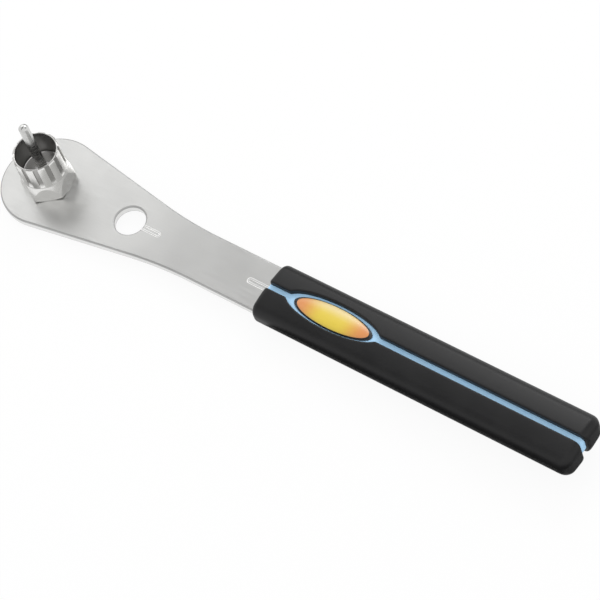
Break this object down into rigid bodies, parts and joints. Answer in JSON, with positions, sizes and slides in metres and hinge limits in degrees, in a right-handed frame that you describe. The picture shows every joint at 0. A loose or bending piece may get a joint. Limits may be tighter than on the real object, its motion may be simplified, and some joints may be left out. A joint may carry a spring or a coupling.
{
  "type": "lockring tool",
  "caption": "Flat steel lever with a splined lockring socket and guide pin at its head, a hang hole in its neck and a moulded grip in soft lobes.",
  "frame": {"origin": "on the socket's axis, in the top face of the lever, where the hexagon stands", "axes": "+X along the lever to the grip, +Z out of the socket's mouth, +Y to the left seen from the head"},
  "size_m": [0.336, 0.05, 0.0557],
  "materials": {
    "lever_steel": "fine brushed, light satin",
    "socket_chrome": "bright plated",
    "pin_steel": "ground and polished",
    "core_plastic": "moulded, smooth",
    "lobe_rubber": "soft-touch, matt",
    "backing_film": "gloss",
    "dome_resin": "clear gloss over colour"
  },
  "bodies": {
    "root": {"lever_plate": "lever_steel", "splined_socket": "socket_chrome", "guide_pin": "pin_steel", "grip_core": "core_plastic", "grip_lobe_left": "lobe_rubber", "grip_lobe_right": "lobe_rubber", "badge_backing": "backing_film", "badge_dome": "dome_resin"}
  },
  "joints": []
}
